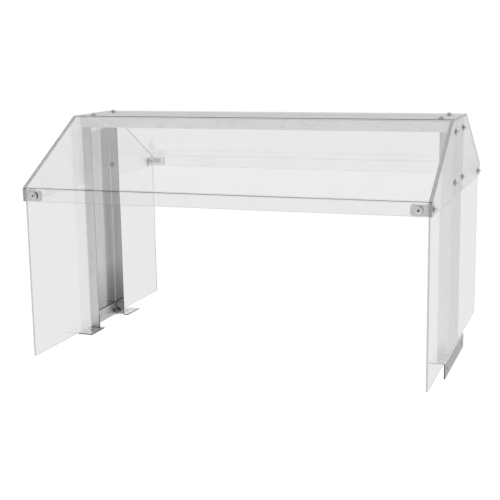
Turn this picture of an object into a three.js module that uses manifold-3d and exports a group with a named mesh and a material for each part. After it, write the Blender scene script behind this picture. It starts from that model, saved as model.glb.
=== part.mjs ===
// Double-sided sneeze guard for a buffet or food bar: a bent acrylic canopy with two gables and two
// end panels, carried by two steel channel posts and a steel crossbar, on two counter brackets.
// Millimetres, +X along the width, +Y from the front to the rear, +Z up.

import * as THREE from 'three';
import { mergeVertices } from 'three/addons/utils/BufferGeometryUtils.js';
import Module from 'manifold-3d';

const wasm = await Module();
wasm.setup();

// Overall sizes, heights measured up from the counter top
const overallWidth = 1219;
const overallDepth = 914;
const canopyHeight = 712;
const shoulderHeight = 523;
const lipHeight = 40;
const topFlatDepth = 248;

// Acrylic
const sheetThickness = 5;
const canopyBendRadius = 12;

// Steel channels
const channelThickness = 2;
const channelBendRadius = 5;
const crossbarDepth = 196;
const crossbarFlange = 36;
const crossbarTabDrop = 54;
const postFlange = 34;
const postFootClearance = 1.2;
const foldedSideClearance = 3.5;
const foldedRelief = 3;

// Counter brackets
const bracketThickness = 3;
const bracketLength = 360;
const bracketBendRadius = 6;
const flapBendRadius = 4;
const sideFlapStart = 9;
const sideFlapScrew = 20;
const sideFlapRoot = 12;
const leftTabReach = 50;
const rightTabReach = 44;
const legDrop = 45;
const mountHoleDiameter = 9;
const tabHoleEndInset = 45;
const legHoleEndInset = 40;

// Cutting shapes: the length of a hole cutter, and how far a notch runs past the metal
const cutterLength = 24;
const overcut = 1;

// Corner brackets
const cornerLeg = 48;
const cornerThickness = 3;
const cornerBendRadius = 5;
const cornerRounding = 6;
const cornerLipMargin = 1.5;
const cornerScrewInset = 25;

// Fasteners
const screwDiameter = 8;
const screwHole = 9;
const headDiameter = 14;
const headHeight = 4.4;
const socketDiameter = 5;
const socketDepth = 2.5;
const washerDiameter = 22;
const washerHole = 8.8;
const washerThickness = 1.6;
const nutAllowance = 9;
const panelScrewEdge = 16;
const topScrewInset = 45;
const upperScrewDrop = 39;
const lowerScrewDrop = 188;
const footScrewDiameter = 5;
const footScrewHole = 5.8;
const footScrewHead = 10;
const footScrewHeadHeight = 3;
const footSocketDiameter = 2.5;
const footSocketDepth = 1.5;
const footScrewEdge = 14;
const footScrewRise = 17;

// Clearances
const fit = 0.3;
const segmentsPerBend = 4;
const roundSegments = 12;

// Derived places
const halfWidth = overallWidth / 2;
const halfDepth = overallDepth / 2;
const layer = sheetThickness + fit;
const steelX = halfWidth - 2 * layer;
const panelBottom = bracketThickness + fit;
const lipBottom = shoulderHeight - lipHeight;
const crossbarTop = canopyHeight - layer;
const postTop = crossbarTop - channelBendRadius - fit;
const postBottom = bracketThickness + postFootClearance;
const postDepth = crossbarDepth - 2 * (channelThickness + fit);
const flapFace = channelThickness + fit + bracketThickness;
const sideFlapInner = postDepth / 2 - channelThickness - fit - bracketThickness;
const foldedWidth = postDepth - 2 * (channelBendRadius + foldedSideClearance);
const halfNotch = foldedWidth / 2 + foldedRelief;
const fastenerSpread = foldedWidth - 2 * panelScrewEdge;
const footScrewSpread = foldedWidth - 2 * footScrewEdge;
const slopeAngle = Math.atan2(canopyHeight - shoulderHeight, halfDepth - topFlatDepth / 2);
const lipStraight = lipHeight - canopyBendRadius * Math.tan((Math.PI / 2 - slopeAngle) / 2);
const lipMiddle = lipBottom + lipStraight / 2;

const acrylic = new THREE.MeshStandardMaterial({
  color: 0xeaf2f2, roughness: 0.05, metalness: 0, transparent: true, opacity: 0.35,
});
const brushedSteel = new THREE.MeshStandardMaterial({ color: 0xb4b6b8, roughness: 0.3, metalness: 1 });
const polishedSteel = new THREE.MeshStandardMaterial({ color: 0xd0d2d4, roughness: 0.16, metalness: 1 });
const screwSteel = new THREE.MeshStandardMaterial({ color: 0xc6c8ca, roughness: 0.22, metalness: 1 });

const assembly = new THREE.Group();

function place(name, geometry, material, x = 0, y = 0, z = 0) {
  const mesh = new THREE.Mesh(geometry, material);
  mesh.name = name;
  mesh.position.set(x, y, z);
  assembly.add(mesh);
  return mesh;
}

// A polyline moved inward by a distance, each corner rounded about the centre that gives the
// unmoved line the stated radius. Corners all turn clockwise, so inward is to the right.
function offsetPath(corners, distance, radius) {
  const path = [];
  const last = corners.length - 1;
  const along = (i) => corners[i + 1].clone().sub(corners[i]).normalize();
  const inward = (d) => new THREE.Vector2(d.y, -d.x);
  path.push(corners[0].clone().addScaledVector(inward(along(0)), distance));
  for (let i = 1; i < last; i += 1) {
    const before = inward(along(i - 1));
    const after = inward(along(i));
    const bisector = before.clone().add(after).normalize();
    const centre = corners[i].clone().addScaledVector(bisector, radius / bisector.dot(before));
    const start = Math.atan2(-before.y, -before.x);
    const turn = Math.acos(THREE.MathUtils.clamp(before.dot(after), -1, 1));
    for (let step = 0; step <= segmentsPerBend; step += 1) {
      const angle = start - turn * step / segmentsPerBend;
      const reach = new THREE.Vector2(Math.cos(angle), Math.sin(angle)).multiplyScalar(radius - distance);
      path.push(centre.clone().add(reach));
    }
  }
  path.push(corners[last].clone().addScaledVector(inward(along(last - 1)), distance));
  return path;
}

function bentStrip(corners, thickness, radius) {
  const outer = offsetPath(corners, 0, radius);
  const inner = offsetPath(corners, thickness, radius).reverse();
  return new THREE.Shape([...outer, ...inner]);
}

// Extrusions centred on their own length, along X, Y or Z
const axes = {
  x: [new THREE.Vector3(0, 1, 0), new THREE.Vector3(0, 0, 1), new THREE.Vector3(1, 0, 0)],
  y: [new THREE.Vector3(1, 0, 0), new THREE.Vector3(0, 0, 1), new THREE.Vector3(0, -1, 0)],
  z: [new THREE.Vector3(1, 0, 0), new THREE.Vector3(0, 1, 0), new THREE.Vector3(0, 0, 1)],
};

function extrude(shape, length, axis) {
  const options = { depth: length, bevelEnabled: false, curveSegments: segmentsPerBend };
  const geometry = new THREE.ExtrudeGeometry(shape, options);
  geometry.translate(0, 0, -length / 2);
  return geometry.applyMatrix4(new THREE.Matrix4().makeBasis(...axes[axis]));
}

function roundedRectangle(x0, y0, x1, y1, radius) {
  const shape = new THREE.Shape();
  shape.moveTo(x0 + radius, y0);
  shape.lineTo(x1 - radius, y0);
  shape.absarc(x1 - radius, y0 + radius, radius, -Math.PI / 2, 0, false);
  shape.lineTo(x1, y1 - radius);
  shape.absarc(x1 - radius, y1 - radius, radius, 0, Math.PI / 2, false);
  shape.lineTo(x0 + radius, y1);
  shape.absarc(x0 + radius, y1 - radius, radius, Math.PI / 2, Math.PI, false);
  shape.lineTo(x0, y0 + radius);
  shape.absarc(x0 + radius, y0 + radius, radius, Math.PI, Math.PI * 1.5, false);
  return shape;
}

function toSolid(geometry) {
  const plain = geometry.clone();
  plain.deleteAttribute('normal');
  plain.deleteAttribute('uv');
  const merged = mergeVertices(plain, 1e-4);
  return new wasm.Manifold(new wasm.Mesh({
    numProp: 3,
    vertProperties: new Float32Array(merged.attributes.position.array),
    triVerts: new Uint32Array(merged.index.array),
  }));
}

function toGeometry(solid) {
  const mesh = solid.getMesh();
  const geometry = new THREE.BufferGeometry();
  geometry.setAttribute('position', new THREE.BufferAttribute(mesh.vertProperties, 3));
  geometry.setIndex(new THREE.BufferAttribute(mesh.triVerts, 1));
  return geometry;
}

function box(x0, y0, z0, x1, y1, z1) {
  const geometry = new THREE.BoxGeometry(Math.abs(x1 - x0), y1 - y0, z1 - z0);
  return geometry.translate((x0 + x1) / 2, (y0 + y1) / 2, (z0 + z1) / 2);
}

// A round hole cutter, long enough to pass a sheet on both sides, square to the given axis
function holeCutter(axis, diameter, x, y, z) {
  const radius = diameter / 2;
  const geometry = new THREE.CylinderGeometry(radius, radius, cutterLength, roundSegments);
  if (axis === 'x') geometry.rotateZ(Math.PI / 2);
  if (axis === 'z') geometry.rotateX(Math.PI / 2);
  return toSolid(geometry.translate(x, y, z));
}

function drill(geometry, cutters) {
  let solid = toSolid(geometry);
  for (const cutter of cutters) solid = solid.subtract(cutter);
  return toGeometry(solid);
}

const ends = [
  { name: 'left', side: -1, reach: leftTabReach },
  { name: 'right', side: 1, reach: rightTabReach },
];
const faces = [{ name: 'front', way: -1 }, { name: 'rear', way: 1 }];
const endAndPost = 2 * layer + channelThickness;
const panelScrewHeights = [
  { name: 'upper', z: canopyHeight - upperScrewDrop, clamped: endAndPost + fit + channelThickness },
  { name: 'lower', z: canopyHeight - lowerScrewDrop, clamped: endAndPost },
];
const cornerScrewX = steelX - cornerScrewInset;
const cornerScrewY = halfDepth - layer - cornerScrewInset;
const topScrewX = halfWidth - topScrewInset;

// Canopy: front lip, front slope, flat top, rear slope and rear lip, bent from one sheet
function outlineDownTo(bottom) {
  return [
    new THREE.Vector2(-halfDepth, bottom),
    new THREE.Vector2(-halfDepth, shoulderHeight),
    new THREE.Vector2(-topFlatDepth / 2, canopyHeight),
    new THREE.Vector2(topFlatDepth / 2, canopyHeight),
    new THREE.Vector2(halfDepth, shoulderHeight),
    new THREE.Vector2(halfDepth, bottom),
  ];
}

const canopyHoles = [];
for (const { side } of ends) {
  for (const { way } of faces) {
    const topHole = [side * topScrewX, way * fastenerSpread / 2, canopyHeight];
    canopyHoles.push(holeCutter('z', screwHole, ...topHole));
    canopyHoles.push(holeCutter('y', screwHole, side * cornerScrewX, way * halfDepth, lipMiddle));
  }
}
const canopyProfile = bentStrip(outlineDownTo(lipBottom), sheetThickness, canopyBendRadius);
place('canopy', drill(extrude(canopyProfile, overallWidth, 'x'), canopyHoles), acrylic);

// Ends: a gable that closes the canopy down to its lips, and inside it a panel that goes on down to
// the counter. The upper edges of both follow the underside of the canopy.
function circularHole(y, z, diameter) {
  const hole = new THREE.Path();
  hole.absarc(y, z, diameter / 2, 0, Math.PI * 2, false);
  return new THREE.Path(hole.getPoints(roundSegments).slice(0, -1));
}

function endSheet(bottom) {
  const sheet = new THREE.Shape(offsetPath(outlineDownTo(bottom), layer, canopyBendRadius));
  for (const { way } of faces) {
    sheet.holes.push(circularHole(way * cornerScrewY, lipMiddle, screwHole));
    for (const { z } of panelScrewHeights) {
      sheet.holes.push(circularHole(way * fastenerSpread / 2, z, screwHole));
    }
  }
  return extrude(sheet, sheetThickness, 'x');
}

for (const { name, side } of ends) {
  const gableMiddle = side * (halfWidth - sheetThickness / 2);
  const panelMiddle = side * (halfWidth - layer - sheetThickness / 2);
  place(`${name}_gable`, endSheet(lipBottom), acrylic, gableMiddle);
  place(`${name}_end_panel`, endSheet(panelBottom), acrylic, panelMiddle);
}

// Crossbar: an inverted channel over both posts, with a tab folded down inside each post
const crossbarProfile = bentStrip([
  new THREE.Vector2(-crossbarDepth / 2, -crossbarFlange),
  new THREE.Vector2(-crossbarDepth / 2, 0),
  new THREE.Vector2(crossbarDepth / 2, 0),
  new THREE.Vector2(crossbarDepth / 2, -crossbarFlange),
], channelThickness, channelBendRadius);
let crossbar = toSolid(extrude(crossbarProfile, 2 * steelX, 'x'));
for (const { side } of ends) {
  const tabFace = steelX - channelThickness - fit;
  const notchStart = side * (tabFace - channelBendRadius);
  const notchEnd = side * (steelX + overcut);
  const notchFloor = -channelThickness - overcut;
  const notch = box(notchStart, -halfNotch, notchFloor, notchEnd, halfNotch, overcut);
  const tab = [
    new THREE.Vector2(side * (tabFace - 2 * channelBendRadius), 0),
    new THREE.Vector2(side * tabFace, 0),
    new THREE.Vector2(side * tabFace, -crossbarTabDrop),
  ];
  if (side < 0) tab.reverse();
  const tabProfile = bentStrip(tab, channelThickness, channelBendRadius);
  crossbar = crossbar.subtract(toSolid(notch)).add(toSolid(extrude(tabProfile, foldedWidth, 'y')));
  for (const { way } of faces) {
    const y = way * fastenerSpread / 2;
    crossbar = crossbar.subtract(holeCutter('z', screwHole, side * topScrewX, y, 0));
    crossbar = crossbar.subtract(holeCutter('x', screwHole, side * tabFace, y, layer - upperScrewDrop));
  }
}
place('crossbar', toGeometry(crossbar), polishedSteel, 0, 0, crossbarTop);

// Posts: channels with the web against the end panel and the flanges turned inward
for (const { name, side } of ends) {
  const corners = [
    new THREE.Vector2(postFlange, -postDepth / 2),
    new THREE.Vector2(0, -postDepth / 2),
    new THREE.Vector2(0, postDepth / 2),
    new THREE.Vector2(postFlange, postDepth / 2),
  ];
  const channel = bentStrip(corners, channelThickness, channelBendRadius);
  const postLength = postTop - postBottom;
  const middle = (postTop + postBottom) / 2;
  const holes = [];
  for (const { way } of faces) {
    for (const { z } of panelScrewHeights) {
      holes.push(holeCutter('x', screwHole, 0, way * fastenerSpread / 2, z - middle));
    }
    holes.push(holeCutter('x', footScrewHole, 0, way * footScrewSpread / 2, footScrewRise - middle));
  }
  holes.push(holeCutter('y', footScrewHole, sideFlapScrew, side * -postDepth / 2, footScrewRise - middle));
  const post = place(`${name}_post`, drill(extrude(channel, postLength, 'z'), holes), brushedSteel);
  post.position.set(side * steelX, 0, middle);
  if (side > 0) post.rotation.z = Math.PI;
}

// Counter brackets, drawn with +X running inward from the steel's outer face. Three flaps are cut
// from the plate and folded up inside the post, one along its web and one along each flange. The
// right bracket also hooks over the counter's end.
function counterBracket(reach, withLeg) {
  const legFace = -(layer + bracketThickness);
  const plate = withLeg
    ? bentStrip([
      new THREE.Vector2(legFace, -legDrop),
      new THREE.Vector2(legFace, bracketThickness),
      new THREE.Vector2(reach, bracketThickness),
    ], bracketThickness, bracketBendRadius)
    : new THREE.Shape([
      new THREE.Vector2(0, 0),
      new THREE.Vector2(reach, 0),
      new THREE.Vector2(reach, bracketThickness),
      new THREE.Vector2(0, bracketThickness),
    ]);
  const flapHeight = reach - flapFace;
  const flap = bentStrip([
    new THREE.Vector2(flapFace, flapHeight),
    new THREE.Vector2(flapFace, 0),
    new THREE.Vector2(0, 0),
  ], bracketThickness, flapBendRadius);
  const notchStart = flapFace - flapBendRadius;
  const cutTop = bracketThickness + overcut;
  const notch = box(notchStart, -halfNotch, -overcut, reach + overcut, halfNotch, cutTop);
  let solid = toSolid(extrude(plate, bracketLength, 'y')).subtract(toSolid(notch));
  solid = solid.add(toSolid(extrude(flap, foldedWidth, 'y')));
  const sideFlapEnd = Math.min(reach, postFlange);
  const sideFlapMiddle = (sideFlapStart + sideFlapEnd) / 2;
  const sideFold = sideFlapInner + flapBendRadius;
  const sideNotch = box(sideFlapStart, -sideFold, -overcut, sideFlapEnd, sideFold, cutTop);
  solid = solid.subtract(toSolid(sideNotch));
  for (const { way } of faces) {
    const sideFlap = [
      new THREE.Vector2(way * (sideFlapInner + sideFlapRoot), 0),
      new THREE.Vector2(way * sideFlapInner, 0),
      new THREE.Vector2(way * sideFlapInner, flapHeight),
    ];
    if (way < 0) sideFlap.reverse();
    const sideFlapProfile = bentStrip(sideFlap, bracketThickness, flapBendRadius);
    const sideFlapShape = extrude(sideFlapProfile, sideFlapEnd - sideFlapStart, 'x');
    sideFlapShape.translate(sideFlapMiddle, 0, 0);
    solid = solid.add(toSolid(sideFlapShape));
  }
  const rearFlap = (withLeg ? -1 : 1) * sideFlapInner;
  solid = solid.subtract(holeCutter('y', footScrewHole, sideFlapScrew, rearFlap, footScrewRise));
  for (const { way } of faces) {
    const tabY = way * (bracketLength / 2 - tabHoleEndInset);
    const legY = way * (bracketLength / 2 - legHoleEndInset);
    const flapY = way * footScrewSpread / 2;
    solid = solid.subtract(holeCutter('z', mountHoleDiameter, reach / 2, tabY, 0));
    solid = solid.subtract(holeCutter('x', footScrewHole, flapFace, flapY, footScrewRise));
    if (withLeg) solid = solid.subtract(holeCutter('x', mountHoleDiameter, legFace, legY, -legDrop / 2));
  }
  return toGeometry(solid);
}

for (const { name, side, reach } of ends) {
  const bracket = place(`${name}_counter_bracket`, counterBracket(reach, side > 0), polishedSteel);
  bracket.position.set(side * steelX, 0, 0);
  if (side > 0) bracket.rotation.z = Math.PI;
}

// Corner brackets: angles inside the acrylic, one leg behind the lip and one on the end panel
function cornerBracket(side, way) {
  const height = lipStraight - 2 * cornerLipMargin;
  const x = side * cornerLeg;
  const y = way * cornerLeg;
  const corners = [new THREE.Vector2(0, -y), new THREE.Vector2(0, 0), new THREE.Vector2(-x, 0)];
  if (side * way > 0) corners.reverse();
  const angle = toSolid(extrude(bentStrip(corners, cornerThickness, cornerBendRadius), height, 'z'));
  const trimX = [Math.min(-x, side * cornerRounding), Math.max(-x, side * cornerRounding)];
  const trimY = [Math.min(-y, way * cornerRounding), Math.max(-y, way * cornerRounding)];
  const alongX = roundedRectangle(trimX[0], -height / 2, trimX[1], height / 2, cornerRounding);
  const alongY = roundedRectangle(trimY[0], -height / 2, trimY[1], height / 2, cornerRounding);
  const trimmed = angle.intersect(toSolid(extrude(alongX, 3 * cornerLeg, 'y')))
    .intersect(toSolid(extrude(alongY, 3 * cornerLeg, 'x')))
    .subtract(holeCutter('y', screwHole, -side * cornerScrewInset, 0, 0))
    .subtract(holeCutter('x', screwHole, 0, -way * cornerScrewInset, 0));
  return toGeometry(trimmed);
}

for (const end of ends) {
  for (const face of faces) {
    const bracket = cornerBracket(end.side, face.way);
    const x = end.side * steelX;
    const y = face.way * (halfDepth - layer);
    place(`${face.name}_${end.name}_corner_bracket`, bracket, polishedSteel, x, y, lipMiddle);
  }
}

// Button-head screws with washers. The lathe axis is +Y, with the seat of the head at y = 0.
function screwGeometry(shank, length, head, height, socket, depth) {
  const profile = [
    [0, -length], [shank / 2, -length], [shank / 2, 0], [head / 2, 0], [head / 2, height * 0.25],
    [head * 0.4, height * 0.75], [head * 0.22, height], [socket / 2, height],
    [socket / 2, height - depth], [0, height - depth],
  ];
  return new THREE.LatheGeometry(profile.map(([x, y]) => new THREE.Vector2(x, y)), roundSegments);
}

function washerGeometry() {
  const profile = [
    [washerHole / 2, 0], [washerDiameter / 2, 0], [washerDiameter / 2, washerThickness],
    [washerHole / 2, washerThickness], [washerHole / 2, 0],
  ];
  return new THREE.LatheGeometry(profile.map(([x, y]) => new THREE.Vector2(x, y)), roundSegments);
}

function aim(mesh, x, y, z) {
  mesh.quaternion.setFromUnitVectors(new THREE.Vector3(0, 1, 0), new THREE.Vector3(x, y, z));
}

// The seat is the point on the clamped sheet's outer face, and the direction points away from it
function fasten(name, seat, direction, clampedThickness) {
  const lift = fit + washerThickness + fit;
  const length = lift + clampedThickness + nutAllowance;
  const washer = place(`${name}_washer`, washerGeometry(), screwSteel);
  washer.position.copy(seat).addScaledVector(direction, fit);
  aim(washer, direction.x, direction.y, direction.z);
  const head = [headDiameter, headHeight, socketDiameter, socketDepth];
  const geometry = screwGeometry(screwDiameter, length, ...head);
  const screw = place(`${name}_screw`, geometry, screwSteel);
  screw.position.copy(seat).addScaledVector(direction, lift);
  aim(screw, direction.x, direction.y, direction.z);
}

const upward = new THREE.Vector3(0, 0, 1);
for (const { name: end, side } of ends) {
  const outward = new THREE.Vector3(side, 0, 0);
  for (const { name: face, way } of faces) {
    const y = way * fastenerSpread / 2;
    const topSeat = new THREE.Vector3(side * topScrewX, y, canopyHeight);
    fasten(`${face}_${end}_top`, topSeat, upward, layer + channelThickness);
    for (const { name: level, z, clamped } of panelScrewHeights) {
      const panelSeat = new THREE.Vector3(side * halfWidth, y, z);
      fasten(`${face}_${end}_${level}_panel`, panelSeat, outward, clamped);
    }
    const lipSeat = new THREE.Vector3(side * cornerScrewX, way * halfDepth, lipMiddle);
    fasten(`${face}_${end}_lip`, lipSeat, new THREE.Vector3(0, way, 0), layer + cornerThickness);
    const cornerSeat = new THREE.Vector3(side * halfWidth, way * cornerScrewY, lipMiddle);
    fasten(`${face}_${end}_corner`, cornerSeat, outward, 2 * layer + cornerThickness);
  }
}

// Screws that hold each post to its folded flaps, threaded into the post
function footScrewGeometry() {
  const length = bracketThickness + 2 * fit + channelThickness;
  return screwGeometry(
    footScrewDiameter, length, footScrewHead, footScrewHeadHeight, footSocketDiameter, footSocketDepth,
  );
}

for (const { name: end, side } of ends) {
  for (const { name: face, way } of faces) {
    const screw = place(`${face}_${end}_foot_screw`, footScrewGeometry(), screwSteel);
    const seatX = side * (steelX - flapFace - fit);
    screw.position.set(seatX, way * footScrewSpread / 2, footScrewRise);
    aim(screw, -side, 0, 0);
  }
  const flangeScrew = place(`rear_${end}_flange_screw`, footScrewGeometry(), screwSteel);
  flangeScrew.position.set(side * (steelX - sideFlapScrew), sideFlapInner - fit, footScrewRise);
  aim(flangeScrew, 0, -1, 0);
}

// The hanging leg of the right bracket is the lowest point of the whole guard
assembly.position.set(0, 0, legDrop);

const sneezeGuard = new THREE.Group();
sneezeGuard.add(assembly);

export default sneezeGuard;
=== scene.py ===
import math

import bmesh
import bpy
from mathutils import Matrix, Vector


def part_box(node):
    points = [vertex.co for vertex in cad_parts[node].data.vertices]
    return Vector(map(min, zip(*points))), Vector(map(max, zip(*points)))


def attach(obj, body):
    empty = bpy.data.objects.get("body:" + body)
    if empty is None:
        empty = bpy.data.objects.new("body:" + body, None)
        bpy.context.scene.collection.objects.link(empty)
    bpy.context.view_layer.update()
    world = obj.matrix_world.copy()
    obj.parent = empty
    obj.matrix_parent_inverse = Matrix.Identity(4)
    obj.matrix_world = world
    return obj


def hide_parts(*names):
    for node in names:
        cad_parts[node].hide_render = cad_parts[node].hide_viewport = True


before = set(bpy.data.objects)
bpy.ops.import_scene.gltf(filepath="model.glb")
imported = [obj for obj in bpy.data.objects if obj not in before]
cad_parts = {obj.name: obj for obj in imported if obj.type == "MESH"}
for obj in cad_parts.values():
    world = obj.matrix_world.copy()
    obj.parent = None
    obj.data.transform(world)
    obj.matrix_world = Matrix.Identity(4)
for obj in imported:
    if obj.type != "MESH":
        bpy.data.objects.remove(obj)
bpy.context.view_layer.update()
print("frame loaded:", len(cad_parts), "nodes")


# A socket that is added, subtracted and multiplied like a number
class Wire:
    def __init__(self, look, socket):
        self.look = look
        self.socket = socket

    def maths(self, operation, first, second):
        return self.look.add("ShaderNodeMath", {"operation": operation}, {0: first, 1: second})

    def __add__(self, other):
        return self.maths("ADD", self, other)

    def __radd__(self, other):
        return self.maths("ADD", other, self)

    def __sub__(self, other):
        return self.maths("SUBTRACT", self, other)

    def __rsub__(self, other):
        return self.maths("SUBTRACT", other, self)

    def __mul__(self, other):
        return self.maths("MULTIPLY", self, other)

    def __rmul__(self, other):
        return self.maths("MULTIPLY", other, self)


# A material, or the world's look when it is given that tree
class Look:
    def __init__(self, name, tree=None):
        self.material = None
        if tree is None:
            self.material = bpy.data.materials.new(name)
            self.material.use_nodes = True
            tree = self.material.node_tree
        self.tree = tree
        self.tree.nodes.clear()

    def add(self, kind, settings=None, sockets=None, output=0):
        node = self.tree.nodes.new(kind)
        for name, value in (settings or {}).items():
            setattr(node, name, value)
        for name, value in (sockets or {}).items():
            if isinstance(value, Wire):
                self.tree.links.new(value.socket, node.inputs[name])
            else:
                node.inputs[name].default_value = value
        return Wire(self, node.outputs[output]) if len(node.outputs) else None

    def spot(self):
        return self.add("ShaderNodeTexCoord", output=3)  # Object coordinates

    def ramp(self, wire, low, high):
        return self.add("ShaderNodeMapRange", {}, {"Value": wire, "From Min": low, "From Max": high})

    def pattern(self, size, detail=3.0, stretch=(1, 1, 1), rough=0.5, span=None):
        # noise about as coarse as size, drawn out along each axis whose stretch is small
        place = self.add("ShaderNodeMapping", {}, {"Vector": self.spot(), "Scale": stretch})
        noise = self.add("ShaderNodeTexNoise", {}, {
            "Vector": place, "Scale": 1 / size, "Detail": detail, "Roughness": rough})
        return self.ramp(noise, *span) if span else noise

    def blend(self, factor, first, second):
        first, second = [(*tone, 1) if isinstance(tone, tuple) else tone for tone in (first, second)]
        return self.add("ShaderNodeMix", {"data_type": "RGBA"}, {0: factor, 6: first, 7: second}, output=2)

    def bump(self, height, strength, distance):
        return self.add("ShaderNodeBump", {}, {
            "Height": height, "Strength": strength, "Distance": distance})

    def finish(self, sockets):
        shader = self.add("ShaderNodeBsdfPrincipled", {}, sockets)
        self.add("ShaderNodeOutputMaterial", {}, {"Surface": shader})
        return self.material


# Clear sheet: faint waves, haze and hairlines
clearLook = {
    "tint": (0.957, 0.959, 0.958), "hazeTint": (0.935, 0.938, 0.937), "ior": 1.49,
    "roughness": 0.006, "hazeRoughness": 0.004, "hairlineRoughness": 0.03, "bump": (0.05, 0.002),
    "waves": {"size": 0.35, "detail": 1.0},
    "haze": {"size": 0.12, "detail": 4.0, "span": (0.45, 0.75)},
    "hairlines": {"size": 0.004, "detail": 2.0, "stretch": (0.05, 0.05, 1), "span": (0.66, 0.72)},
}


def makeClearAcrylic(name, values):
    look = Look(name)
    haze = look.pattern(**values["haze"])
    hairlines = look.pattern(**values["hairlines"])
    dulling = haze * values["hazeRoughness"] + hairlines * values["hairlineRoughness"]
    return look.finish({
        "Base Color": look.blend(haze, values["tint"], values["hazeTint"]),
        "Roughness": values["roughness"] + dulling,
        "IOR": values["ior"],
        "Transmission Weight": 1.0,
        "Normal": look.bump(look.pattern(**values["waves"]), *values["bump"]),
    })


# Cut edges of the sheets: the canopy's are sawn and painted darker as shade, the panels' are polished
edgeLook = {
    "ior": 1.49, "sawRoughness": 0.2, "bump": (0.15, 0.0003),
    "saw": {"size": 0.0007, "detail": 2.0},
    "cloud": {"size": 0.03, "detail": 3.0, "span": (0.3, 0.7)},
}
# painted shade: the canopy's sawn edges and hole walls get a darker, less clear tone
rimShadeLook = {
    **edgeLook, "light": (0.66, 0.67, 0.67), "dark": (0.5, 0.51, 0.51), "clear": 0.3, "roughness": 0.28}
panelEdgeLook = {
    **edgeLook, "light": (0.92, 0.925, 0.925), "dark": (0.83, 0.835, 0.835), "clear": 0.1, "roughness": 0.16}


def makeAcrylicEdge(name, values):
    look = Look(name)
    saw = look.pattern(**values["saw"])
    return look.finish({
        "Base Color": look.blend(look.pattern(**values["cloud"]), values["dark"], values["light"]),
        "Roughness": values["roughness"] + saw * values["sawRoughness"],
        "IOR": values["ior"],
        "Transmission Weight": values["clear"],
        "Normal": look.bump(saw, *values["bump"]),
    })


# The narrow line along a heat bend, with a painted dark reflection that makes it look dark through the sheet
bendShadeLook = {
    "light": (0.2, 0.203, 0.203), "dark": (0.12, 0.122, 0.122), "ior": 1.49,
    "roughness": 0.02, "rippleRoughness": 0.03, "bump": (0.1, 0.0005),
    "ripple": {"size": 0.006, "detail": 3.0, "stretch": (0.1, 1, 1)},
    "cloud": {"size": 0.05, "detail": 3.0, "span": (0.3, 0.7)},
}


def makeBendShadeAcrylic(name, values):
    look = Look(name)
    ripple = look.pattern(**values["ripple"])
    return look.finish({
        "Base Color": look.blend(look.pattern(**values["cloud"]), values["dark"], values["light"]),
        "Roughness": values["roughness"] + ripple * values["rippleRoughness"],
        "IOR": values["ior"],
        "Transmission Weight": 1.0,
        "Normal": look.bump(ripple, *values["bump"]),
    })


# Smooth steel with fine scratches and smudges; grazing dims it where it is seen nearly edge on
satinLook = {
    "light": (0.88, 0.88, 0.885), "dark": (0.83, 0.83, 0.835), "grazing": 1.0,
    "roughness": 0.2, "scratchRoughness": 0.08, "smudgeRoughness": 0.07, "bump": (0.06, 0.0002),
    "cloud": {"size": 0.08, "detail": 4.0, "span": (0.3, 0.75)},
    "scratches": {"size": 0.0015, "detail": 3.0, "stretch": (0.03, 1, 1), "span": (0.5, 0.75)},
    "smudges": {"size": 0.025, "detail": 5.0, "span": (0.52, 0.68)},
}
bracketLook = {
    **satinLook, "light": (0.78, 0.78, 0.785), "dark": (0.7, 0.7, 0.705),
    "roughness": 0.26, "scratchRoughness": 0.1}
# painted shade: the counter bracket's outward leg face is a darker copy of the bracket steel, its edge-on
# reflections dimmed too
legShadeLook = {**bracketLook, "light": (0.64, 0.64, 0.645), "dark": (0.57, 0.57, 0.575), "grazing": 0.66}


def makeSmoothSteel(name, values):
    look = Look(name)
    scratches = look.pattern(**values["scratches"])
    smudges = look.pattern(**values["smudges"])
    dulling = scratches * values["scratchRoughness"] + smudges * values["smudgeRoughness"]
    return look.finish({
        "Base Color": look.blend(look.pattern(**values["cloud"]), values["light"], values["dark"]),
        "Metallic": 1.0,
        "Specular Tint": (values["grazing"], values["grazing"], values["grazing"], 1),
        "Roughness": values["roughness"] + dulling,
        "Normal": look.bump(scratches, *values["bump"]),
    })


# Brushed steel, the grain upright; the channel's inside is smoother and painted darker as shade in the
# recess, with painted shade that deepens towards the foot
brushedLook = {
    "light": (0.8, 0.8, 0.805), "dark": (0.75, 0.75, 0.755), "footShadeTone": (0.2, 0.2, 0.2), "foot": 0.0,
    "footShadeSpan": (0.07, 0.24), "roughness": 0.3, "grainRoughness": 0.1, "smudgeRoughness": 0.06,
    "bump": (0.12, 0.0002),
    "grain": {"size": 0.0009, "detail": 4.0, "stretch": (1, 1, 0.012), "rough": 0.65},
    "bands": {"size": 0.02, "detail": 2.0, "stretch": (1, 1, 0.05), "span": (0.35, 0.7)},
    "smudges": {"size": 0.04, "detail": 5.0, "span": (0.5, 0.7)},
}
# painted shade: the channel's inside and the bracket flaps get a darker tone, darker still towards the
# bottom
shadedInsideLook = {
    **brushedLook, "light": (0.66, 0.66, 0.665), "dark": (0.58, 0.58, 0.585), "foot": 0.68,
    "roughness": 0.08, "grainRoughness": 0.07}


def makeBrushedSteel(name, values):
    look = Look(name)
    grain = look.pattern(**values["grain"])
    smudges = look.pattern(**values["smudges"])
    height = look.add("ShaderNodeSeparateXYZ", {}, {"Vector": look.spot()}, output=2)
    # painted shade, strongest at the bottom and fading out higher up
    footShadeShare = (1 - look.ramp(height, *values["footShadeSpan"])) * values["foot"]
    tone = look.blend(look.pattern(**values["bands"]), values["light"], values["dark"])
    dulling = grain * values["grainRoughness"] + smudges * values["smudgeRoughness"]
    return look.finish({
        "Base Color": look.blend(footShadeShare, tone, values["footShadeTone"]),
        "Metallic": 1.0,
        "Roughness": values["roughness"] + dulling,
        "Normal": look.bump(grain, *values["bump"]),
    })


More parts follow.
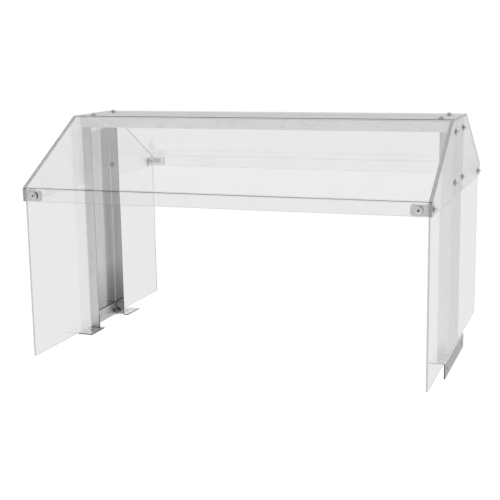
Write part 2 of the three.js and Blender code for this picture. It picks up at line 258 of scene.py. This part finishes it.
# Sheared edges and hole walls of the steel
cutLook = {
    "light": (0.1, 0.1, 0.1), "dark": (0.04, 0.04, 0.04), "toneSpan": (0.3, 0.7),
    "roughness": 0.4, "lineRoughness": 0.25, "bump": (0.2, 0.0001),
    "lines": {"size": 0.0006, "detail": 3.0, "stretch": (1, 1, 0.3)},
}


def makeCutSteel(name, values):
    look = Look(name)
    lines = look.pattern(**values["lines"])
    share = look.ramp(lines, *values["toneSpan"])
    return look.finish({
        "Base Color": look.blend(share, values["dark"], values["light"]),
        "Metallic": 1.0,
        "Roughness": values["roughness"] + lines * values["lineRoughness"],
        "Normal": look.bump(lines, *values["bump"]),
    })


# Screws, washers and nuts
screwLook = {
    "light": (0.78, 0.78, 0.78), "dark": (0.6, 0.6, 0.61),
    "roughness": 0.16, "spotRoughness": 0.12, "bump": (0.08, 0.0001),
    "spots": {"size": 0.0012, "detail": 4.0, "span": (0.45, 0.75)},
    "cloud": {"size": 0.006, "detail": 3.0, "span": (0.35, 0.7)},
}
footScrewLook = {**screwLook, "light": (0.16, 0.16, 0.16), "dark": (0.09, 0.09, 0.09), "roughness": 0.34}


def makeScrewSteel(name, values):
    look = Look(name)
    spots = look.pattern(**values["spots"])
    return look.finish({
        "Base Color": look.blend(look.pattern(**values["cloud"]), values["light"], values["dark"]),
        "Metallic": 1.0,
        "Roughness": values["roughness"] + spots * values["spotRoughness"],
        "Normal": look.bump(spots, *values["bump"]),
    })


# The inside of a hexagonal socket, painted dark as shade in the recess
socketShadeLook = {
    "light": (0.1, 0.1, 0.1), "dark": (0.04, 0.04, 0.04), "roughness": 0.45, "spotRoughness": 0.2,
    "spots": {"size": 0.0008, "detail": 3.0},
}


def makeSocketShade(name, values):
    look = Look(name)
    spots = look.pattern(**values["spots"])
    return look.finish({
        "Base Color": look.blend(spots, values["light"], values["dark"]),
        "Metallic": 1.0,
        "Roughness": values["roughness"] + spots * values["spotRoughness"],
    })


clearAcrylic = makeClearAcrylic("clearAcrylic", clearLook)
acrylicRim = makeAcrylicEdge("sawnAcrylicRimShade", rimShadeLook)
panelEdge = makeAcrylicEdge("polishedAcrylicEdge", panelEdgeLook)
bendShadeAcrylic = makeBendShadeAcrylic("heatBendPaintedReflection", bendShadeLook)
cutSteel = makeCutSteel("shearedSteelEdge", cutLook)
satinSteel = makeSmoothSteel("satinSteel", satinLook)
bracketSteel = makeSmoothSteel("polishedBracketSteel", bracketLook)
legShadeSteel = makeSmoothSteel("paintedShadeLegSteel", legShadeLook)
brushedSteel = makeBrushedSteel("brushedSteel", brushedLook)
shadedInsideSteel = makeBrushedSteel("channelInsidePaintedShadeSteel", shadedInsideLook)
screwSteel = makeScrewSteel("screwSteel", screwLook)
footScrewSteel = makeScrewSteel("darkScrewSteel", footScrewLook)
socketShadeSteel = makeSocketShade("screwSocketShade", socketShadeLook)
print("materials made")


# Tolerances in metres, angles in degrees
meshValues = {
    "merge": 0.00001, "flatAngle": 1, "spinMerge": 0.000005, "near": 0.00001,
    "smoothAngle": 35, "bevelAngle": 40, "bevelSegments": 2,
    "holeWallArea": 0.00001, "edgeWidth": 1.1, "edgeEnd": 1.3, "edgeCorner": 50,
}


def sheetFromNode(name):
    bm = bmesh.new()
    bm.from_mesh(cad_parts[name].data)
    bmesh.ops.remove_doubles(bm, verts=bm.verts, dist=meshValues["merge"])
    flat = math.radians(meshValues["flatAngle"])
    bmesh.ops.dissolve_limit(bm, angle_limit=flat, verts=bm.verts, edges=bm.edges)
    bm.normal_update()
    return bm


def isCutEdge(face, thickness):
    # a strip as narrow as the sheet is thick, with square corners along it, or the wall of a hole
    if face.calc_area() < meshValues["holeWallArea"]:
        return True
    if 2 * face.calc_area() / face.calc_perimeter() > thickness * meshValues["edgeWidth"]:
        return False
    square = math.radians(meshValues["edgeCorner"])
    longSides = [e for e in face.edges if e.calc_length() > thickness * meshValues["edgeEnd"]]
    return all(e.calc_face_angle(math.pi) > square for e in longSides)


def markFaces(bm, index, isThere):
    for face in bm.faces:
        if isThere(face):
            face.material_index = index


def addObject(name, mesh):
    thing = bpy.data.objects.new(name, mesh)
    bpy.context.scene.collection.objects.link(thing)
    return thing


def makePiece(bm, name, nodes, materials, bevel=0):
    bm.normal_update()
    mesh = bpy.data.meshes.new(name)
    bm.to_mesh(mesh)
    bm.free()
    for material in materials:
        mesh.materials.append(material)
    mesh.shade_smooth()
    mesh.set_sharp_from_angle(angle=math.radians(meshValues["smoothAngle"]))
    piece = addObject(name, mesh)
    if bevel:
        rounding = piece.modifiers.new("softEdges", "BEVEL")
        rounding.width = bevel
        rounding.segments = meshValues["bevelSegments"]
        rounding.limit_method = "ANGLE"
        rounding.angle_limit = math.radians(meshValues["bevelAngle"])
        rounding.material = -1
        flatten = piece.modifiers.new("evenNormals", "WEIGHTED_NORMAL")
        flatten.keep_sharp = True
    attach(piece, "root")
    if nodes:
        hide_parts(*nodes)


def spunShape(profile, segments):
    # the profile runs as (radius, height) pairs from one end to the other
    bm = bmesh.new()
    verts = [bm.verts.new((radius, 0, height)) for radius, height in profile]
    edges = [bm.edges.new(pair) for pair in zip(verts, verts[1:])]
    bmesh.ops.spin(bm, geom=verts + edges, cent=(0, 0, 0), axis=(0, 0, 1), angle=math.tau,
                   steps=segments, use_merge=True, use_duplicate=False)
    bmesh.ops.remove_doubles(bm, verts=bm.verts, dist=meshValues["spinMerge"])
    return bm


def rimAt(bm, height, radius):
    near = meshValues["near"]
    return [e for e in bm.edges if e.is_boundary and all(
        abs(v.co.z - height) < near and v.co.xy.length < radius + near for v in e.verts)]


def newVerts(geom):
    return [v for v in geom if isinstance(v, bmesh.types.BMVert)]


def aimed(bm, seat, direction):
    turn = Vector((0, 0, 1)).rotation_difference(direction).to_matrix().to_4x4()
    bmesh.ops.transform(bm, matrix=Matrix.Translation(seat) @ turn, verts=bm.verts)
    return bm


# Canopy: one bent sheet. Height and shoulder are measured up from the counter top, and the bend
# reach is how far from a front corner the painted dark reflection along the bend reaches.
canopyValues = {
    "height": 0.712, "shoulder": 0.523, "topFlat": 0.248, "thickness": 0.005,
    "bendRadius": 0.012, "bendSegments": 10, "bentAngle": 20, "bendShadeReach": 0.0029,
    "edgeRounding": 0.0005, "rimReach": 0.002, "hole": 0.009, "holeSegments": 24, "drill": 0.03,
}


def bendCorner(bm, edge, radius, segments):
    first, second = edge.link_faces
    turn = first.normal.angle(second.normal)
    bmesh.ops.bevel(bm, geom=[edge], offset=radius * math.tan(turn / 2), offset_type="OFFSET",
                    segments=segments, profile=0.5, affect="EDGES", material=-1)


def canopyOutline(values):
    low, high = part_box("canopy")
    shoulder = high.z - values["height"] + values["shoulder"]
    flat = values["topFlat"] / 2
    return [(low.y, low.z), (low.y, shoulder), (-flat, high.z), (flat, high.z),
            (high.y, shoulder), (high.y, low.z)]


def bentSheet(corners, values):
    low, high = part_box("canopy")
    bm = bmesh.new()
    verts = [bm.verts.new((low.x, y, z)) for y, z in corners]
    edges = [bm.edges.new(pair) for pair in zip(verts, verts[1:])]
    swept = bmesh.ops.extrude_edge_only(bm, edges=edges)["geom"]
    bmesh.ops.translate(bm, vec=(high.x - low.x, 0, 0), verts=newVerts(swept))
    bmesh.ops.recalc_face_normals(bm, faces=bm.faces)
    top = max(bm.faces, key=lambda f: f.calc_center_median().z)
    if top.normal.z < 0:
        bmesh.ops.reverse_faces(bm, faces=bm.faces)
    bent = math.radians(values["bentAngle"])
    while True:
        bm.normal_update()
        sharp = [e for e in bm.edges if len(e.link_faces) == 2 and e.calc_face_angle(0) > bent]
        if not sharp:
            break
        bendCorner(bm, sharp[0], values["bendRadius"], values["bendSegments"])
    markFaces(bm, 0, lambda f: True)
    bmesh.ops.solidify(bm, geom=bm.faces[:], thickness=values["thickness"])
    bm.normal_update()
    return bm


def drillShapes(values):
    # one cylinder through each washer of the canopy
    drills = bmesh.new()
    upright = Matrix.Identity(4)
    level = Matrix.Rotation(math.radians(90), 4, "X")
    for end in ("left", "right"):
        for side in ("front", "rear"):
            for kind, turn in (("top", upright), ("lip", level)):
                washerLow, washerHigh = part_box(f"{side}_{end}_{kind}_washer")
                centre = Matrix.Translation((washerLow + washerHigh) / 2)
                bmesh.ops.create_cone(drills, cap_ends=True, segments=values["holeSegments"],
                                      radius1=values["hole"] / 2, radius2=values["hole"] / 2,
                                      depth=values["drill"], matrix=centre @ turn)
    return drills


def cutHoles(bm, drills, materials, wall):
    meshes = []
    for name, shape in (("blank", bm), ("drills", drills)):
        mesh = bpy.data.meshes.new(name)
        shape.to_mesh(mesh)
        shape.free()
        meshes.append(addObject(name, mesh))
    blank, cutter = meshes
    for material in materials:
        blank.data.materials.append(material)
    cutter.data.materials.append(wall)
    cut = blank.modifiers.new("holes", "BOOLEAN")
    cut.object = cutter
    cut.operation = "DIFFERENCE"
    cut.solver = "EXACT"
    bpy.context.view_layer.update()
    result = bmesh.new()
    result.from_object(blank, bpy.context.evaluated_depsgraph_get())
    for each in meshes:
        bpy.data.objects.remove(each)
    return result


def makeCanopy(values):
    corners = canopyOutline(values)
    frontBends = corners[1:3]
    lipBottom = corners[0][1] + values["rimReach"]
    bm = bentSheet(corners, values)

    def isOnBendShade(face):
        middle = face.calc_center_median()
        return min(math.hypot(middle.y - y, middle.z - z) for y, z in frontBends) < values["bendShadeReach"]

    def isRim(face):
        atLip = face.normal.z < -0.9 and face.calc_center_median().z < lipBottom
        return abs(face.normal.x) > 0.9 or atLip

    # faces near the two front bends get the painted dark reflection
    markFaces(bm, 2, isOnBendShade)
    markFaces(bm, 1, isRim)
    materials = [clearAcrylic, acrylicRim, bendShadeAcrylic]
    drilled = cutHoles(bm, drillShapes(values), materials, acrylicRim)
    makePiece(drilled, "canopySheet", ["canopy"], materials, values["edgeRounding"])


makeCanopy(canopyValues)
print("canopy bent")


# Gables and end panels
endValues = {"edgeRounding": 0.0004}
for end in ("left", "right"):
    for kind, label in (("gable", "Gable"), ("end_panel", "EndPanel")):
        sheet = sheetFromNode(f"{end}_{kind}")
        markFaces(sheet, 1, lambda f: abs(f.normal.x) < 0.5)
        makePiece(sheet, end + label, [f"{end}_{kind}"],
                  [clearAcrylic, panelEdge], endValues["edgeRounding"])
print("gables and end panels made")


# Folded steel: crossbar, posts and brackets
steelValues = {"edgeRounding": 0.0003, "channel": 0.002, "bracket": 0.003, "flapStart": 0.0005}


def makeFolded(node, name, finishes, thickness, places=()):
    # finishes holds the main one, and then one for each test in places
    bm = sheetFromNode(node)
    for index, isThere in enumerate(places, 2):
        markFaces(bm, index, isThere)
    markFaces(bm, 1, lambda f: isCutEdge(f, thickness))
    materials = [finishes[0], cutSteel, *finishes[1:]]
    makePiece(bm, name, [node], materials, steelValues["edgeRounding"])


def makePost(end):
    low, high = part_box(f"{end}_post")

    # the inner faces get the painted-shade copy of the steel
    def isInside(face):
        inward = (low + high) / 2 - face.calc_center_median()
        inward.z = 0
        return abs(face.normal.z) < 0.5 and face.normal.dot(inward) > 0

    makeFolded(f"{end}_post", end + "ChannelPost", [brushedSteel, shadedInsideSteel],
               steelValues["channel"], [isInside])


def makeCounterBracket(end):
    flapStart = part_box(f"{end}_post")[0].z + steelValues["flapStart"]
    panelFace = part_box(f"{end}_end_panel")[1].x

    # the flaps get the painted-shade copy of the steel too
    def isFlap(face):
        return face.calc_center_median().z > flapStart

    # the outward leg face gets the painted-shade copy of the bracket steel
    def isLegFace(face):
        return face.normal.x > 0.9 and face.calc_center_median().x > panelFace

    makeFolded(f"{end}_counter_bracket", end + "CounterBracket",
               [bracketSteel, shadedInsideSteel, legShadeSteel], steelValues["bracket"], [isFlap, isLegFace])


makeFolded("crossbar", "steelCrossbar", [satinSteel], steelValues["channel"])
for end in ("left", "right"):
    makePost(end)
    makeCounterBracket(end)
    for side, finish in (("front", bracketSteel), ("rear", satinSteel)):
        makeFolded(f"{side}_{end}_corner_bracket", side + end.capitalize() + "CornerBracket",
                   [finish], steelValues["bracket"])
print("folded steel made")


# Screws, washers and nuts. A head's dome runs from its flat top to its seat, as shares of its
# radius and its height.
screwValues = {
    "shank": 0.0079, "root": 0.0068, "tip": 0.82, "runout": 0.94, "pitch": 0.00125, "threads": 7,
    "head": 0.014, "headHeight": 0.0044, "socket": 0.0055, "socketDepth": 0.0028, "segments": 32,
    "dome": ((0.52, 1), (0.72, 0.93), (0.88, 0.72), (0.97, 0.42), (1, 0.12), (0.985, 0)),
}
footScrewValues = {
    **screwValues, "shank": 0.005, "threads": 0, "head": 0.010, "headHeight": 0.003,
    "socket": 0.0032, "socketDepth": 0.0016, "segments": 24}
washerValues = {"hole": 0.0088, "chamfer": 0.0003, "segments": 40}
nutValues = {
    "acrossFlats": 0.013, "height": 0.0065, "hole": 0.0082, "reach": 0.0087, "chamfer": 0.0006,
    "chamferSegments": 2, "segments": 24}


def hexagon(bm, acrossFlats, height):
    return bmesh.ops.create_circle(bm, cap_ends=False, segments=6, radius=acrossFlats / math.sqrt(3),
                                   matrix=Matrix.Translation((0, 0, height)))["verts"]


def screwProfile(length, values):
    head, shank = values["head"] / 2, values["shank"] / 2
    profile = [(head * across, values["headHeight"] * up) for across, up in values["dome"]]
    profile += [(shank, 0)]
    if values["threads"]:
        start = -length + (values["threads"] + 0.5) * values["pitch"]
        for turn in range(values["threads"]):
            ridge = start - turn * values["pitch"]
            profile += [(shank, ridge), (values["root"] / 2, ridge - values["pitch"] / 2)]
        profile += [(shank * values["runout"], start - values["threads"] * values["pitch"])]
    return profile + [(shank * values["tip"], -length)]


def makeScrew(length, values):
    # the head sits on height 0 and the shank goes down from it
    top = values["headHeight"]
    bm = spunShape(screwProfile(length, values), values["segments"])
    rim = rimAt(bm, top, values["dome"][0][0] * values["head"] / 2)
    mouth = hexagon(bm, values["socket"], top)
    mouthEdges = list({e for v in mouth for e in v.link_edges})
    bmesh.ops.bridge_loops(bm, edges=rim + mouthEdges)
    sunk = newVerts(bmesh.ops.extrude_edge_only(bm, edges=mouthEdges)["geom"])
    bmesh.ops.translate(bm, vec=(0, 0, -values["socketDepth"]), verts=sunk)
    bottom = [e for e in bm.edges if e.is_boundary and all(v in sunk for v in e.verts)]
    bmesh.ops.edgeloop_fill(bm, edges=bottom)
    bmesh.ops.edgeloop_fill(bm, edges=rimAt(bm, -length, values["head"] / 2))
    bmesh.ops.recalc_face_normals(bm, faces=bm.faces)
    markFaces(bm, 1, lambda f: all(v in sunk or v in mouth for v in f.verts))
    return bm


def makeWasher(outer, thickness, values):
    hole, chamfer, outside = values["hole"] / 2, values["chamfer"], outer / 2
    profile = [
        (hole, 0), (outside - chamfer, 0), (outside, chamfer), (outside, thickness - chamfer),
        (outside - chamfer, thickness), (hole + chamfer, thickness), (hole, thickness - chamfer),
        (hole, 0)]
    bm = spunShape(profile, values["segments"])
    bmesh.ops.recalc_face_normals(bm, faces=bm.faces)
    return bm


def makeNut(values):
    bm = bmesh.new()
    hexagon(bm, values["acrossFlats"], 0)
    bmesh.ops.create_circle(bm, cap_ends=False, segments=values["segments"], radius=values["hole"] / 2)
    bmesh.ops.bridge_loops(bm, edges=bm.edges[:])
    lifted = newVerts(bmesh.ops.extrude_face_region(bm, geom=bm.faces[:])["geom"])
    bmesh.ops.translate(bm, vec=(0, 0, values["height"]), verts=lifted)
    bmesh.ops.recalc_face_normals(bm, faces=bm.faces)
    outside = values["acrossFlats"] / 2
    level = [e for e in bm.edges if abs(e.verts[0].co.z - e.verts[1].co.z) < meshValues["near"]]
    corners = [e for e in level if all(v.co.xy.length > outside for v in e.verts)]
    bmesh.ops.bevel(bm, geom=corners, offset=values["chamfer"], offset_type="OFFSET",
                    segments=values["chamferSegments"], profile=0.5, affect="EDGES", material=-1)
    return bm


def makeFootScrew(node, name, way, values):
    low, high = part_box(node)
    axis = 0 if way.x else 1
    headTop, farEnd = (high, low) if way[axis] > 0 else (low, high)
    seat = (low + high) / 2
    seat[axis] = headTop[axis] - way[axis] * values["headHeight"]
    shape = makeScrew(abs(seat[axis] - farEnd[axis]), values)
    makePiece(aimed(shape, seat, way), name, [node], [footScrewSteel, socketShadeSteel])


def makeFastener(stem, label):
    # a screw, the washer under its head and the nut at its inner end
    washerLow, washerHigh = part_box(stem + "_washer")
    size = washerHigh - washerLow
    centre = (washerLow + washerHigh) / 2
    axis = min(range(3), key=lambda i: size[i])
    way = Vector((0, 0, 0))
    way[axis] = 1 if centre[axis] > 0 else -1
    screwLow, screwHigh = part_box(stem + "_screw")
    headTop, innerEnd = (screwHigh, screwLow) if way[axis] > 0 else (screwLow, screwHigh)
    seat = centre.copy()
    seat[axis] = headTop[axis] - way[axis] * screwValues["headHeight"]
    nutFoot = centre.copy()
    nutFoot[axis] = innerEnd[axis] + way[axis] * nutValues["reach"]
    back = centre - way * (size[axis] / 2)
    screw = makeScrew(abs(seat[axis] - innerEnd[axis]), screwValues)
    washer = makeWasher(max(size), size[axis], washerValues)
    makePiece(aimed(screw, seat, way), label + "Screw", [stem + "_screw"],
              [screwSteel, socketShadeSteel])
    makePiece(aimed(washer, back, way), label + "Washer", [stem + "_washer"], [screwSteel])
    makePiece(aimed(makeNut(nutValues), nutFoot, -way), label + "Nut", [], [screwSteel])


for end, inward in (("left", 1), ("right", -1)):
    for side in ("front", "rear"):
        place = side + end.capitalize()
        for kind, label in (("top", "Top"), ("upper_panel", "UpperPanel"), ("lower_panel", "LowerPanel"),
                            ("lip", "Lip"), ("corner", "Corner")):
            makeFastener(f"{side}_{end}_{kind}", place + label)
        makeFootScrew(f"{side}_{end}_foot_screw", place + "FootScrew",
                      Vector((inward, 0, 0)), footScrewValues)
    makeFootScrew(f"rear_{end}_flange_screw", "rear" + end.capitalize() + "FlangeScrew",
                  Vector((0, -1, 0)), footScrewValues)
print("fasteners made")


# Floor and room: plain white straight on, and a shade less as the clear sheets and the steel see
# them. The room is darker in front of the guard than behind it, and brightest high up behind it.
studioValues = {
    "seenWhite": 1.02, "floorGlow": 0.85, "floorSize": 60.0,
    "skyRear": 0.7, "skyFront": 0.5, "skyHigh": 0.35, "rearSpan": (-0.7, 0.3), "highSpan": (0.1, 0.25),
}


def makeFloor(values):
    bm = bmesh.new()
    bmesh.ops.create_grid(bm, x_segments=1, y_segments=1, size=values["floorSize"])
    look = Look("paleFloor")
    seen = look.add("ShaderNodeEmission", {}, {"Strength": values["seenWhite"]})
    glow = look.add("ShaderNodeEmission", {}, {"Strength": values["floorGlow"]})
    straightOn = look.add("ShaderNodeLightPath")
    shader = look.add("ShaderNodeMixShader", {}, {0: straightOn, 1: glow, 2: seen})
    look.add("ShaderNodeOutputMaterial", {}, {"Surface": shader})
    mesh = bpy.data.meshes.new("floor")
    bm.to_mesh(mesh)
    bm.free()
    mesh.materials.append(look.material)
    addObject("floor", mesh)


def makeRoom(values):
    world = bpy.data.worlds.new("studio")
    bpy.context.scene.world = world
    world.use_nodes = True
    look = Look("studio", world.node_tree)
    direction = look.add("ShaderNodeTexCoord")
    toRear = look.add("ShaderNodeSeparateXYZ", {}, {"Vector": direction}, output=1)
    upward = look.add("ShaderNodeSeparateXYZ", {}, {"Vector": direction}, output=2)
    low, high = values["rearSpan"]
    rearShare = look.add("ShaderNodeMapRange", {"interpolation_type": "SMOOTHSTEP"}, {
        "Value": toRear, "From Min": low, "From Max": high})
    highLift = look.ramp(upward, *values["highSpan"]) * values["skyHigh"]
    rearLift = values["skyRear"] - values["skyFront"] + highLift
    strength = values["skyFront"] + rearShare * rearLift
    room = look.add("ShaderNodeBackground", {}, {"Color": (1, 1, 1, 1), "Strength": strength})
    seen = look.add("ShaderNodeBackground", {}, {"Color": (1, 1, 1, 1), "Strength": values["seenWhite"]})
    straightOn = look.add("ShaderNodeLightPath")
    shader = look.add("ShaderNodeMixShader", {}, {0: straightOn, 1: room, 2: seen})
    look.add("ShaderNodeOutputWorld", {}, {"Surface": shader})


cameraValues = {
    "place": (1.0890, -3.2323, 0.9967), "yaw": 19.54, "pitch": 11.16, "roll": -0.91,
    "lens": 77.7, "sensor": 36,
}


def makeCamera(values):
    lens = bpy.data.cameras.new("camera")
    lens.lens = values["lens"]
    lens.sensor_width = values["sensor"]
    camera = addObject("camera", lens)
    camera.matrix_world = (Matrix.Translation(values["place"])
                           @ Matrix.Rotation(math.radians(values["yaw"]), 4, "Z")
                           @ Matrix.Rotation(math.radians(90 - values["pitch"]), 4, "X")
                           @ Matrix.Rotation(math.radians(values["roll"]), 4, "Z"))
    bpy.context.scene.camera = camera


makeFloor(studioValues)
makeRoom(studioValues)
makeCamera(cameraValues)
bpy.context.scene.view_settings.view_transform = "Standard"
print("studio set")
